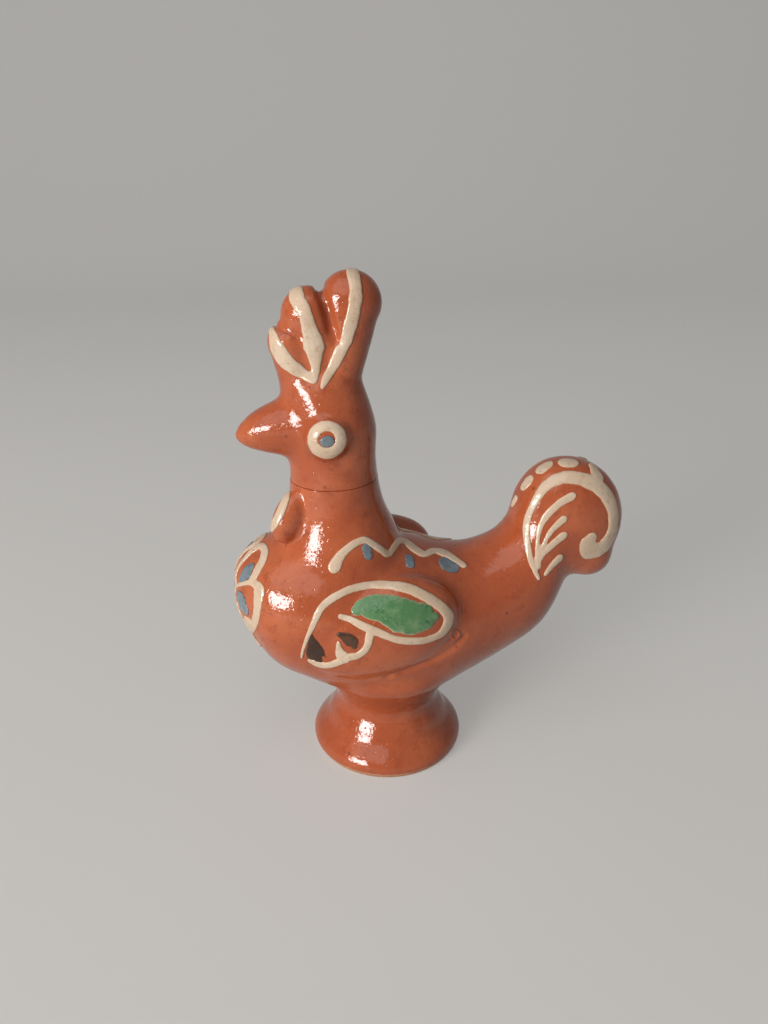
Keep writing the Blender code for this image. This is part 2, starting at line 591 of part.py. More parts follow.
class Slip:
    """Trails and dots pressed on one side of a surface and collected in one bmesh."""

    def __init__(self, surface, bm, side):
        self.surface = surface
        self.bm = bm
        self.side = side
        self.frames = slip_frames(side)

    def press(self, frame, a, b):
        """Point of the surface under a frame's coordinates, and the normal there."""
        origin, step_a, step_b, look = (v.copy() for v in self.frames[frame])
        for v in (origin, step_a, step_b, look):
            v.y *= -self.side
        away = 0.03
        start = origin + step_a * a + step_b * b - look * away
        point, normal, _, _ = self.surface.ray_cast(start, look)
        if point is None:
            point, normal, _, _ = self.surface.find_nearest(start + look * away)
        return point, normal

    def trail(self, frame, points, material):
        """Bead of slip along a path, with a flat top, sloping sides and tapered ends."""
        _, step_a, step_b, _ = self.frames[frame]
        path = smooth_path(points, 6)
        length = sum(math.hypot((q[0] - p[0]) * step_a.length, (q[1] - p[1]) * step_b.length)
                     for p, q in zip(path, path[1:]))
        path = smooth_path(points, max(1, round(length / SLIP_STEP / (len(points) - 1))))
        closed = (path[0] - path[-1]).length < 1e-6
        if closed:
            path.pop()
        loops = []
        for i, (a, b, share) in enumerate(path):
            ahead = path[(i + 1) % len(path)] if closed else path[min(i + 1, len(path) - 1)]
            behind = path[i - 1] if closed else path[max(i - 1, 0)]
            run = Vector(((ahead[0] - behind[0]) * step_a.length,
                          (ahead[1] - behind[1]) * step_b.length)).normalized()
            half = share * SLIP_WIDTH / 2
            if not closed and i in (0, len(path) - 1):
                half *= 0.6
            row = []
            for across, lift in ((-1, -0.6), (-0.6, 1), (0.6, 1), (1, -0.6)):
                offset_a = -run.y * across * half / step_a.length
                offset_b = run.x * across * half / step_b.length
                point, normal = self.press(frame, a + offset_a, b + offset_b)
                row.append(self.bm.verts.new(point + normal * lift * SLIP_HEIGHT))
            point, normal = self.press(frame, a, b)
            row.append(self.bm.verts.new(point - normal * 2 * SLIP_ROOT))
            loops.append(row)
        pairs = list(zip(loops, loops[1:]))
        if closed:
            pairs.append((loops[-1], loops[0]))
        faces = [self.bm.faces.new((p[k - 1], p[k], q[k], q[k - 1]))
                 for p, q in pairs for k in range(len(loops[0]))]
        if not closed:
            faces += [self.bm.faces.new(loops[0]), self.bm.faces.new(loops[-1])]
        for face in faces:
            face.material_index = material

    def dot(self, frame, a, b, share, material):
        """Low round button of slip."""
        _, step_a, step_b, _ = self.frames[frame]
        rings = []
        for part, lift in ((1.0, -0.6), (0.65, 0.9)):
            ring = []
            for k in range(DOT_SIDES):
                angle = math.tau * k / DOT_SIDES
                reach = share * SLIP_WIDTH * part
                point, normal = self.press(frame, a + reach * math.cos(angle) / step_a.length,
                                           b + reach * math.sin(angle) / step_b.length)
                ring.append(self.bm.verts.new(point + normal * lift * SLIP_HEIGHT))
            rings.append(ring)
        point, normal = self.press(frame, a, b)
        root = self.bm.verts.new(point - normal * 2 * SLIP_ROOT)
        faces = [self.bm.faces.new(rings[1])]
        for k in range(DOT_SIDES):
            low, high = rings
            faces.append(self.bm.faces.new((low[k - 1], low[k], high[k], high[k - 1])))
            faces.append(self.bm.faces.new((low[k], low[k - 1], root)))
        for face in faces:
            face.material_index = material


def trail_slip(surface):
    """All the trails and dots, as closed beads in one bmesh."""
    names = list(GLAZES)
    bm = bmesh.new()
    for side in (-1, 1):
        slip = Slip(surface, bm, side)
        for frame, name, points in TRAILS:
            slip.trail(frame, points, names.index(name))
        for frame, name, a, b, share in DOTS + (RIM_DOTS if side < 0 else ()):
            slip.dot(frame, a, b, share, names.index(name))
    bmesh.ops.recalc_face_normals(bm, faces=bm.faces)
    return bm


def paint(body, clay, slip, slip_faces):
    """Give each face the glaze of the slip under it, or of the clay where it lies bare."""
    for name in GLAZES:
        body.data.materials.append(glaze(name))
    for face in body.data.polygons:
        point, normal, _, _ = clay.find_nearest(face.center)
        lifted = (face.center - point).dot(normal) > 0.35 * SLIP_HEIGHT
        _, _, index, _ = slip.find_nearest(face.center)
        face.material_index = slip_faces[index] if lifted else 0


def make_body():
    """The decorated bird, with its slip fused to its clay."""
    bm = modelled()
    clay = BVHTree.FromBMesh(bm)
    beads = trail_slip(clay)
    slip = BVHTree.FromBMesh(beads)
    slip_faces = [face.material_index for face in beads.faces]
    mesh = bpy.data.meshes.new("slip")
    beads.to_mesh(mesh)
    beads.free()
    bm.from_mesh(mesh)
    body = blended("bird_whistle", bm, SLIP_GRID, SLIP_PASSES)
    thin = body.modifiers.new("thin", 'DECIMATE')
    thin.ratio = BODY_FACES / (2 * len(body.data.polygons))
    settle(body)
    paint(body, clay, slip, slip_faces)
    return body


clear_scene()
body = make_body()
for make_cutter in (ground_cutter, chamber_cutter, bore_cutter, windway_cutter, crack_cutter):
    cut(body, make_cutter())
body.data.shade_smooth()
body.data.set_sharp_from_angle(angle=math.radians(40))
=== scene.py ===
"""Looks of the glazed clay rooster whistle: body, slip trails, glaze fills, and a plain studio.

All lengths are in metres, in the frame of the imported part: the bird faces -X, stands on Z = 0
and has its left side towards -Y. Trails are listed by where the picture shows them, in its
pixels, and are laid from there on the clay of the left side, then repeated on the right side.
"""

import math

import bmesh
import bpy
from mathutils import Matrix, Vector, noise
from mathutils.bvhtree import BVHTree
from mathutils.kdtree import KDTree


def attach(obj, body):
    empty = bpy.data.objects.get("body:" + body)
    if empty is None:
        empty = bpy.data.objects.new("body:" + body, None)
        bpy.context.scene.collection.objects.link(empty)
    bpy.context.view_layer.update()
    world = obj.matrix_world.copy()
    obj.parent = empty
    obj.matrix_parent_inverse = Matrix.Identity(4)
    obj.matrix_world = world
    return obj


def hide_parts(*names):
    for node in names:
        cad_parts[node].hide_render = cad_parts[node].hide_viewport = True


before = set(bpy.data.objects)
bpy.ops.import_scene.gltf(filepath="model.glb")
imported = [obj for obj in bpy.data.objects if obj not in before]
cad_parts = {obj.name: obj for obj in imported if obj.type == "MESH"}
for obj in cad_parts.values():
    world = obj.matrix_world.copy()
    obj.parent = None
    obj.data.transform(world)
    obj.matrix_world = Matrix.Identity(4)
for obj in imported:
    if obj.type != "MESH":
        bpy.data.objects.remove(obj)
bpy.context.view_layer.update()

# Camera: the picture's size and focal length in pixels, and where it was taken from
PICTURE = (768, 1024)
FOCAL = 785.0
SENSOR = 36.0
EYE_POINT = Vector((-0.0311, -0.1763, 0.1447))
EYE_PITCH = math.radians(23.5)
EYE_HEADING = math.radians(9.73)
SIGHT_START = 0.14
SIGHT_SPAN = 0.10
SIGHT_STEPS = 40

# Foot, a turned cone
FOOT_RADIUS = 0.0203
FOOT_EDGE = 0.0018
WAIST_RADIUS = 0.0134
WAIST_HEIGHT = 0.0150

# Belly, from the breast to the root of the tail
BREAST_REACH = 0.0391
BELLY_LENGTH = 0.0746
BELLY_MIDDLE = 0.0410
BELLY_DEPTH = 0.0450
BELLY_WIDTH = 0.0425

# Neck, head and beak
NECK_X = -0.0131
NECK_RADIUS = 0.0105
NECK_HEIGHT = 0.0790
HEAD_RADIUS = 0.0106
HEAD_HEIGHT = 0.0902
BEAK_REACH = 0.0230
BEAK_RADIUS = 0.0068

# Comb
COMB_BASE_HEIGHT = 0.1010
COMB_TOP_HEIGHT = 0.1252
COMB_THICKNESS = 0.0118

# Lobe of the tail
TAIL_X = 0.0470
TAIL_HEIGHT = 0.0626
TAIL_RADIUS = 0.0154
TAIL_THICKNESS = 0.0195
TAIL_FLATNESS = 0.72

# Pellets pressed on each side
WING_X = -0.0050
WING_HEIGHT = 0.0434
WING_LENGTH = 0.0405
WING_DEPTH = 0.0255
WING_TILT = math.radians(12.0)
WING_FLARE = math.radians(7.0)
WING_TURN = math.radians(4.0)
WING_OUT = 0.0232
WING_THICKNESS = 0.0170
FAR_WING_RISE = 0.0035
EYE_RADIUS = 0.0055
EYE_FORWARD = 0.0020
EYE_DROP = 0.0004
EYE_OUT = 0.0129
EYE_THICKNESS = 0.0088
WATTLE_X = -0.0242
WATTLE_HEIGHT = 0.0700
WATTLE_LENGTH = 0.0134
WATTLE_WIDTH = 0.0086
WATTLE_TILT = math.radians(31.0)
WATTLE_OUT = 0.0094
WATTLE_THICKNESS = 0.0072
WATTLE_TURN = math.radians(-30.0)
FAR_WATTLE_DROP = 0.0055
FAR_WATTLE_SHIFT = 0.0020

# Air ways
WALL = 0.0055
BORE_WIDTH = 0.0070
BORE_FLOOR = 0.0382
BORE_CEILING = 0.0455
LABIUM_X = 0.0434
LABIUM_HEIGHT = 0.0406
LABIUM_RAMP = math.radians(65.0)
WINDWAY_GAP = 0.0016
WINDWAY_SLOPE = math.radians(52.0)
WINDOW_CUT = 0.0065

# Glued break round the neck
CRACK_HEIGHT = 0.0776
CRACK_GAP = 0.00030
CRACK_DEPTH = 0.00040

# Grids on which the clay and the slip are fused, and how often each is smoothed
FORM_GRID = 0.0009
SKIN_GRID = 0.0006
SLIP_GRID = 0.00022
FORM_PASSES = 24
SKIN_PASSES = 9
SLIP_PASSES = 3
SHARP_ANGLE = math.radians(42)

# Marks of the hand on the clay: how fine, how high, and where the noise starts
HAND_MARKS = ((95, 0.00017, (0, 0, 0)), (310, 0.00005, (7, 3, 5)))
FLAT_FOOT = 0.001
MARKS_FADE = 0.006

# Slip and glaze: height of the trails and fills, depth to which they are rooted in the clay
SLIP_LIFT = 0.00034
FILL_LIFT = 0.00022
SLIP_ROOT = 0.0004
GLAZE_IOR = 1.55
BUMP_STRENGTH = 0.55
BUMP_HEIGHT = 0.00035

# Studio: the glow is what the eye and reflections see, and lights nothing
FLOOR_COLOUR = (0.41, 0.394, 0.37, 1)
FLOOR_GLOW_COLOUR = (1, 0.975, 0.94, 1)
FLOOR_GLOW = 0.27
AIR_COLOUR = (0.97, 0.98, 1.0, 1)
AIR_LIGHT = 0.13
AIR_GLOW = 0.14
BIRD_MIDDLE = (0, 0, 0.06)
SOFTBOXES = (
    # name, place, width, height, power
    ("window", (-0.64, -0.52, 0.25), 0.34, 0.27, 5.6),
    ("sky", (-0.36, -0.42, 0.85), 0.95, 0.95, 3.0),
)


# Camera
def eye_axes():
    """Right, up and forward of the camera."""
    turn = Matrix.Rotation(-EYE_HEADING, 3, 'Z') @ Matrix.Rotation(math.pi / 2 - EYE_PITCH, 3, 'X')
    return turn @ Vector((1, 0, 0)), turn @ Vector((0, 1, 0)), turn @ Vector((0, 0, -1))


EYE_RIGHT, EYE_UP, EYE_FRONT = eye_axes()


def sight(x, y):
    """Direction from the camera through a pixel of the picture."""
    across = (x - PICTURE[0] / 2) / FOCAL
    down = (y - PICTURE[1] / 2) / FOCAL
    return (EYE_FRONT + EYE_RIGHT * across - EYE_UP * down).normalized()


def in_picture(point):
    """Pixel of the picture in which a point is seen."""
    ray = point - EYE_POINT
    depth = ray.dot(EYE_FRONT)
    return Vector((PICTURE[0] / 2 + FOCAL * ray.dot(EYE_RIGHT) / depth,
                   PICTURE[1] / 2 - FOCAL * ray.dot(EYE_UP) / depth))


def seat(surface, x, y):
    """Point of the clay that the picture shows in a pixel, or the one that is nearest to it."""
    ray = sight(x, y)
    point, _, _, _ = surface.ray_cast(EYE_POINT, ray)
    if point is None:
        reaches = [SIGHT_START + SIGHT_SPAN * k / SIGHT_STEPS for k in range(SIGHT_STEPS)]
        tries = [surface.find_nearest(EYE_POINT + ray * reach) for reach in reaches]
        point = min(tries, key=lambda found: found[3])[0]
    return point


def turned(surface, point, side, offset):
    """The same place on the given side, on the surface, with its normal."""
    if side > 0:
        point = Vector((point.x, -point.y, point.z)) + offset
    place, normal, _, _ = surface.find_nearest(point)
    return place, normal


# Clay forms
def smooth_path(points, steps):
    """Points on a Catmull-Rom curve through the given tuples, with steps to each span."""
    rows = [Vector(p) for p in points]
    out = []
    for i in range(len(rows) - 1):
        before, start = rows[max(i - 1, 0)], rows[i]
        end, after = rows[i + 1], rows[min(i + 2, len(rows) - 1)]
        for k in range(steps):
            t = k / steps
            out.append(0.5 * (2 * start + (end - before) * t
                              + (2 * before - 5 * start + 4 * end - after) * t * t
                              + (3 * start - before - 3 * end + after) * t ** 3))
    out.append(rows[-1])
    return out


def bridge(bm, rings):
    """Skin over a row of rings of vertices, closed at both ends."""
    loops = [list(dict.fromkeys(e for v in ring for e in v.link_edges)) for ring in rings]
    for a, b in zip(loops, loops[1:]):
        bmesh.ops.bridge_loops(bm, edges=a + b)
    for ring in (rings[0], rings[-1]):
        bmesh.ops.contextual_create(bm, geom=ring)


def loft(bm, sections, sides=32):
    """Skin over elliptical sections, each a centre and two half axes."""
    rings = []
    for centre, half_u, half_v in sections:
        place = Matrix.Identity(4)
        for column, axis in enumerate((half_u, half_v, half_u.cross(half_v).normalized(), centre)):
            for row in range(3):
                place[row][column] = axis[row]
        made = bmesh.ops.create_circle(bm, cap_ends=False, segments=sides, radius=1, matrix=place)
        rings.append(made["verts"])
    bridge(bm, rings)


def side_sections(stations, steps=4):
    """Sections along the middle plane from x, z, half thickness, half width and lean."""
    sections = []
    for x, z, thick, wide, lean in smooth_path(stations, steps):
        up = Vector((-math.sin(lean), 0, math.cos(lean)))
        sections.append((Vector((x, 0, z)), up * thick, Vector((0, wide, 0))))
    return sections


def upright_sections(stations, steps=4):
    """Level sections from x, z, radius along X and radius along Y."""
    return [(Vector((x, 0, z)), Vector((a, 0, 0)), Vector((0, b, 0)))
            for x, z, a, b in smooth_path(stations, steps)]


def ball(bm, centre, half_axes, turn=None, flat=1.0):
    """Rounded pellet; below 1, flat gives it flatter sides and a rounder rim."""
    place = Matrix.Translation(centre) @ (turn or Matrix()) @ Matrix.Diagonal((*half_axes, 1))
    verts = bmesh.ops.create_uvsphere(bm, u_segments=48, v_segments=28, radius=1)["verts"]
    for vert in verts:
        vert.co.y = math.copysign(abs(vert.co.y) ** flat, vert.co.y)
    bmesh.ops.transform(bm, matrix=place, verts=verts)


BELLY_SHAPE = (
    # share of the length, rise of the middle, depth and width of the section
    (0.000, 0.37, 0.06, 0.06),
    (0.020, 0.36, 0.30, 0.34),
    (0.070, 0.28, 0.56, 0.60),
    (0.130, 0.20, 0.74, 0.79),
    (0.235, 0.15, 0.90, 0.93),
    (0.360, 0.05, 1.00, 1.00),
    (0.520, -0.07, 1.00, 1.00),
    (0.680, -0.14, 0.89, 0.91),
    (0.770, -0.12, 0.79, 0.82),
)
TAIL_SHAPE = (
    # from the end of the belly: length, rise, half thickness, half width, lean in degrees
    (0.0080, 0.0027, 0.0158, 0.0149, 10),
    (0.0155, 0.0070, 0.0145, 0.0130, 28),
    (0.0192, 0.0125, 0.0120, 0.0115, 48),
    (0.0212, 0.0185, 0.0099, 0.0104, 64),
    (0.0240, 0.0240, 0.0096, 0.0098, 70),
)
COMB_LOBES = (
    # foot of the lobe from the neck's axis, tip from it, share of the height, radius
    (0.0008, 0.0046, 1.00, 0.0072),
    (-0.0030, -0.0046, 0.87, 0.0063),
    (-0.0076, -0.0090, 0.57, 0.0052),
)


def moved_on(name, side):
    """How far a form of the right side is moved from the mirrored place of the left one."""
    if side < 0:
        return Vector()
    if name.startswith("wing"):
        return Vector((0, 0, FAR_WING_RISE))
    if name.startswith("wattle"):
        return Vector((FAR_WATTLE_SHIFT, 0, -FAR_WATTLE_DROP))
    return Vector()


def belly_stations():
    """Stations of the belly and of the stem of the tail, for side_sections."""
    rows = []
    for along, rise, depth, width in BELLY_SHAPE:
        rows.append((-BREAST_REACH + along * BELLY_LENGTH, BELLY_MIDDLE + rise * BELLY_DEPTH / 2,
                     depth * BELLY_DEPTH / 2, width * BELLY_WIDTH / 2, 0))
    end_x, end_z = rows[-1][:2]
    for along, rise, thick, wide, lean in TAIL_SHAPE:
        rows.append((end_x + along, end_z + rise, thick, wide, math.radians(lean)))
    return rows


def add_tail_lobe(bm):
    turn = Matrix.Rotation(math.radians(-20), 4, 'Y')
    ball(bm, Vector((TAIL_X, 0, TAIL_HEIGHT)),
         (TAIL_RADIUS * 0.95, TAIL_THICKNESS / 2, TAIL_RADIUS * 1.05), turn, TAIL_FLATNESS)
    ball(bm, Vector((TAIL_X + 0.40 * TAIL_RADIUS, 0, TAIL_HEIGHT - 0.62 * TAIL_RADIUS)),
         (TAIL_RADIUS * 0.48, TAIL_THICKNESS * 0.42, TAIL_RADIUS * 0.52), turn)


def add_neck(bm):
    shoulder = BELLY_MIDDLE + 0.008
    loft(bm, upright_sections([
        (NECK_X, shoulder, 0.0195, 0.0175),
        (NECK_X, shoulder + 0.008, 0.0175, 0.0165),
        (NECK_X + 0.0008, shoulder + 0.016, 0.0140, 0.0135),
        (NECK_X + 0.0003, shoulder + 0.022, 0.0117, 0.0115),
        (NECK_X, NECK_HEIGHT, NECK_RADIUS, NECK_RADIUS),
        (NECK_X - 0.0002, (NECK_HEIGHT + HEAD_HEIGHT) / 2,
         HEAD_RADIUS * 0.98, HEAD_RADIUS * 0.98),
        (NECK_X - 0.0002, HEAD_HEIGHT, HEAD_RADIUS, HEAD_RADIUS),
        (NECK_X - 0.0010, HEAD_HEIGHT + 0.0050, HEAD_RADIUS * 0.94, HEAD_RADIUS * 0.93),
        (NECK_X - 0.0024, COMB_BASE_HEIGHT, HEAD_RADIUS * 0.89, HEAD_RADIUS * 0.74),
        (NECK_X - 0.0026, COMB_BASE_HEIGHT + 0.004, HEAD_RADIUS * 0.8, HEAD_RADIUS * 0.5),
    ]))


def add_beak(bm):
    loft(bm, side_sections([
        (NECK_X - reach * BEAK_REACH, HEAD_HEIGHT - drop, BEAK_RADIUS * size,
         BEAK_RADIUS * size * 0.97, 0)
        for reach, drop, size in ((0.22, -0.0004, 1.25), (0.58, 0.0000, 0.94),
                                  (0.80, 0.0006, 0.68), (0.94, 0.0013, 0.38),
                                  (1.00, 0.0017, 0.14))]))


def add_stem(bm):
    """Stem of the foot, which widens into the belly."""
    profile = (
        (0, 0.90, 0.90),
        (0.60 * WAIST_HEIGHT, 0.98, 0.98),
        (WAIST_HEIGHT, 1.00, 1.00),
        (WAIST_HEIGHT + 0.0030, 1.06, 1.09),
        (WAIST_HEIGHT + 0.0065, 1.22, 1.27),
        (WAIST_HEIGHT + 0.0100, 1.38, 1.45),
        (WAIST_HEIGHT + 0.0130, 1.42, 1.50),
    )
    loft(bm, upright_sections([(0, z, a * WAIST_RADIUS, b * WAIST_RADIUS)
                               for z, a, b in profile]), 64)


def add_foot(bm):
    profile = (
        (-0.004, FOOT_RADIUS - 2.4 * FOOT_EDGE),
        (0, FOOT_RADIUS - 0.55 * FOOT_EDGE),
        (FOOT_EDGE, FOOT_RADIUS),
        (0.24 * WAIST_HEIGHT, FOOT_RADIUS * 0.982),
        (0.36 * WAIST_HEIGHT, FOOT_RADIUS * 0.915),
        (0.52 * WAIST_HEIGHT, FOOT_RADIUS * 0.81),
        (0.70 * WAIST_HEIGHT, WAIST_RADIUS * 1.13),
        (0.86 * WAIST_HEIGHT, WAIST_RADIUS * 1.03),
        (WAIST_HEIGHT, WAIST_RADIUS),
        (WAIST_HEIGHT + 0.0020, WAIST_RADIUS),
    )
    loft(bm, upright_sections([(0, z, r, r) for z, r in profile]), 64)


def add_comb(bm):
    height = COMB_TOP_HEIGHT - COMB_BASE_HEIGHT
    for foot, tip, share, radius in COMB_LOBES:
        top = COMB_BASE_HEIGHT + share * height - radius
        half = COMB_THICKNESS / 2 * (0.78 + 0.22 * share)
        loft(bm, upright_sections([
            (NECK_X + foot, COMB_BASE_HEIGHT - 0.005, radius * 0.80, half * 0.98),
            (NECK_X + foot, COMB_BASE_HEIGHT, radius * 0.84, half),
            (NECK_X + 0.5 * (foot + tip), (COMB_BASE_HEIGHT + top) / 2, radius * 0.92, half),
            (NECK_X + tip, top, radius, half),
        ]))
        ball(bm, Vector((NECK_X + tip, 0, top)), (radius, half, radius))
    ball(bm, Vector((NECK_X - 0.0012, 0, COMB_BASE_HEIGHT + 0.36 * height)),
         (0.36 * height, 0.32 * COMB_THICKNESS, 0.46 * height))


def add_pellets(bm):
    """Wings, eyes and wattles, one of each on either side."""
    for side in (-1, 1):
        lean = (Matrix.Rotation(side * WING_TURN, 4, 'Z')
                @ Matrix.Rotation(side * WING_FLARE, 4, 'X'))
        wing_half = WING_THICKNESS / 2
        ball(bm, Vector((WING_X, side * (WING_OUT - wing_half), WING_HEIGHT))
             + moved_on("wing", side),
             (WING_LENGTH / 2, wing_half, WING_DEPTH / 2),
             lean @ Matrix.Rotation(-WING_TILT, 4, 'Y'))
        eye_half = EYE_THICKNESS / 2
        ball(bm, Vector((NECK_X - EYE_FORWARD, side * (EYE_OUT - eye_half),
                         HEAD_HEIGHT - EYE_DROP)), (EYE_RADIUS, eye_half, EYE_RADIUS))
        wattle_half = WATTLE_THICKNESS / 2
        splay = Matrix.Rotation(side * WATTLE_TURN, 4, 'Z')
        ball(bm, Vector((WATTLE_X, side * (WATTLE_OUT - wattle_half), WATTLE_HEIGHT))
             + moved_on("wattle", side),
             (WATTLE_WIDTH / 2, wattle_half, WATTLE_LENGTH / 2),
             splay @ Matrix.Rotation(WATTLE_TILT, 4, 'Y'))


def settle(obj):
    """Replace an object's mesh by what its modifiers make of it."""
    graph = bpy.context.evaluated_depsgraph_get()
    mesh = bpy.data.meshes.new_from_object(obj.evaluated_get(graph))
    obj.modifiers.clear()
    obj.data = mesh
    return obj


def new_object(name, bm):
    """Object made of a bmesh, which is used up."""
    mesh = bpy.data.meshes.new(name)
    bmesh.ops.recalc_face_normals(bm, faces=bm.faces)
    bm.to_mesh(mesh)
    bm.free()
    obj = bpy.data.objects.new(name, mesh)
    bpy.context.collection.objects.link(obj)
    return obj


def fused(name, bm, grid, passes):
    """Object whose overlapping forms are fused into one skin and smoothed."""
    obj = new_object(name, bm)
    fuse = obj.modifiers.new("fuse", 'REMESH')
    fuse.mode = 'VOXEL'
    fuse.voxel_size = grid
    smooth = obj.modifiers.new("smooth", 'SMOOTH')
    smooth.factor = 0.5
    smooth.iterations = passes
    return settle(obj)


def absorb(bm, obj):
    """Take an object's mesh into a bmesh and remove the object."""
    bm.from_mesh(obj.data)
    bpy.data.objects.remove(obj)


def slab(bm, outline, half_width):
    """Outline in the middle plane, extruded to both sides of it."""
    near = [bm.verts.new((x, -half_width, z)) for x, z in outline]
    face = bm.faces.new(near)
    grown = bmesh.ops.extrude_face_region(bm, geom=[face])["geom"]
    moved = [v for v in grown if isinstance(v, bmesh.types.BMVert)]
    bmesh.ops.translate(bm, verts=moved, vec=(0, 2 * half_width, 0))


def ground_cutter(bm):
    slab(bm, ((-0.05, -0.02), (0.05, -0.02), (0.05, 0), (-0.05, 0)), 0.05)


def chamber_cutter(bm):
    middle = BELLY_LENGTH / 2 - BREAST_REACH
    shrink = 1 - 2 * WALL / BELLY_LENGTH
    stations = [(middle + (x - middle) * shrink, z, thick - WALL, wide - WALL, lean)
                for x, z, thick, wide, lean in belly_stations()[2:len(BELLY_SHAPE)]]
    ends = []
    for (x, z, thick, wide, lean), reach, share in ((stations[0], -0.5, 0.5),
                                                    (stations[-1], 1.0, 0.6)):
        ends.append((x + reach * WALL, z, share * thick, share * wide, lean))
    loft(bm, side_sections([ends[0], *stations, ends[1]]))


def bore_cutter(bm):
    run = WINDOW_CUT / math.tan(LABIUM_RAMP)
    front = BELLY_LENGTH * 0.6 - BREAST_REACH
    rear = LABIUM_X + run + WINDOW_CUT
    slab(bm, ((front, BORE_FLOOR),
              (LABIUM_X - (LABIUM_HEIGHT - BORE_FLOOR), BORE_FLOOR),
              (LABIUM_X, LABIUM_HEIGHT),
              (LABIUM_X + run, LABIUM_HEIGHT - WINDOW_CUT),
              (rear, LABIUM_HEIGHT - WINDOW_CUT),
              (rear, BORE_CEILING),
              (front, BORE_CEILING)), BORE_WIDTH / 2)


def windway_cutter(bm):
    run = Vector((math.cos(WINDWAY_SLOPE), 0, math.sin(WINDWAY_SLOPE)))
    across = Vector((-run.z, 0, run.x)) * WINDWAY_GAP / 2
    edge = Vector((LABIUM_X, 0, LABIUM_HEIGHT))
    start = edge + run * (BORE_CEILING - 0.0002 - LABIUM_HEIGHT) / run.z
    end = start + run * 2.4 * TAIL_RADIUS
    slab(bm, [(c.x, c.z) for c in (start - across, end - across, end + across, start + across)],
         BORE_WIDTH / 2)


def cut(obj, make_cutter):
    """Take a cutter's solid out of an object for good."""
    bm = bmesh.new()
    make_cutter(bm)
    tool = new_object("cutter", bm)
    away = obj.modifiers.new("cut", 'BOOLEAN')
    away.operation = 'DIFFERENCE'
    away.object = tool
    away.solver = 'EXACT'
    settle(obj)
    bpy.data.objects.remove(tool)


def hand_marks(bm):
    """The shallow unevenness that fingers leave on worked clay, broad and then fine."""
    bm.normal_update()
    for vert in bm.verts:
        fade = min(1, max(0, (vert.co.z - FLAT_FOOT) / MARKS_FADE))
        rise = sum(noise.noise(vert.co * fineness + Vector(start)) * high
                   for fineness, high, start in HAND_MARKS)
        vert.co += vert.normal * rise * fade


CHIP = (371.5, 483.5)
CREASES = (
    # form, points in the picture, depth and half width of the pressed line
    ("comb", ((319, 286), (322, 297), (327, 312), (332, 327), (336, 341)), 0.0011, 0.0017),
    ("comb", ((274, 325), (281, 328), (290, 332), (300, 338)), 0.0005, 0.0010),
    ("wing", ((464, 636), (454, 647), (439, 657), (424, 664), (408, 670), (388, 677)),
     0.0005, 0.0013),
)


def press_creases(bm):
    """Lines where one form was pressed against the next and not smoothed over."""
    surface = BVHTree.FromBMesh(bm)
    marks = []
    for form, points, depth, half in CREASES:
        spots = [seat(surface, p.x, p.y) for p in smooth_path(points, 8)]
        for side in (-1, 1):
            marks += [(turned(surface, spot, side, moved_on(form, side))[0], depth, half)
                      for spot in spots]
    tree = KDTree(len(marks))
    for index, (place, _, _) in enumerate(marks):
        tree.insert(place, index)
    tree.balance()
    bm.normal_update()
    for vert in bm.verts:
        _, index, away = tree.find(vert.co)
        _, depth, half = marks[index]
        if away < half:
            vert.co -= vert.normal * depth * (1 - (away / half) ** 2) ** 2


def cut_crack(bm, crack_index):
    """Break round the neck, as a thin uneven groove with its own material."""
    def near_neck(item):
        centre = item.calc_center_median() if isinstance(item, bmesh.types.BMFace) else item.co
        return abs(centre.z - CRACK_HEIGHT) < 0.003 and abs(centre.x - NECK_X) < 0.02

    def height(co, offset):
        wobble = noise.noise(co * 260) * 0.00016 + noise.noise(co * 900) * 0.00007
        slope = (co.x - NECK_X) * 0.02
        return CRACK_HEIGHT + slope + wobble + offset

    loops = []
    for offset in (-CRACK_GAP / 2, 0, CRACK_GAP / 2):
        faces = [f for f in bm.faces if near_neck(f)]
        geom = list(dict.fromkeys(g for f in faces for g in (*f.verts, *f.edges))) + faces
        made = bmesh.ops.bisect_plane(bm, geom=geom, dist=1e-6, plane_no=(0, 0, 1),
                                      plane_co=(0, 0, CRACK_HEIGHT + offset))["geom_cut"]
        loops.append((offset, [g for g in made if isinstance(g, bmesh.types.BMVert)]))
    bm.normal_update()
    chip = seat(BVHTree.FromBMesh(bm), *CHIP)
    middle = []
    for offset, verts in loops:
        for vert in verts:
            wide = 0.7 + 0.9 * noise.noise(vert.co * 420 + Vector((0, 9, 0)))
            wide += 3.0 * math.exp(-((vert.co - chip).length / 0.0011) ** 2)
            inward = vert.normal.copy()
            vert.co.z = height(vert.co, offset * max(0.35, wide))
            if offset == 0:
                vert.co -= inward * CRACK_DEPTH
                middle.append(vert)
    for vert in middle:
        for face in vert.link_faces:
            face.material_index = crack_index


def make_body():
    bm = bmesh.new()
    loft(bm, side_sections(belly_stations()))
    for add in (add_stem, add_tail_lobe, add_neck, add_beak):
        add(bm)
    form = fused("form", bm, FORM_GRID, FORM_PASSES)
    bm = bmesh.new()
    absorb(bm, form)
    for add in (add_foot, add_comb, add_pellets):
        add(bm)
    clay = fused("clay", bm, SKIN_GRID, SKIN_PASSES)
    bm = bmesh.new()
    absorb(bm, clay)
    hand_marks(bm)
    press_creases(bm)
    body = new_object("clay_body", bm)
    for make_cutter in (ground_cutter, chamber_cutter, bore_cutter, windway_cutter):
        cut(body, make_cutter)
    bm = bmesh.new()
    bm.from_mesh(body.data)
    cut_crack(bm, 1)
    bm.to_mesh(body.data)
    bm.free()
    body.data.shade_smooth()
    body.data.set_sharp_from_angle(angle=SHARP_ANGLE)
    return body


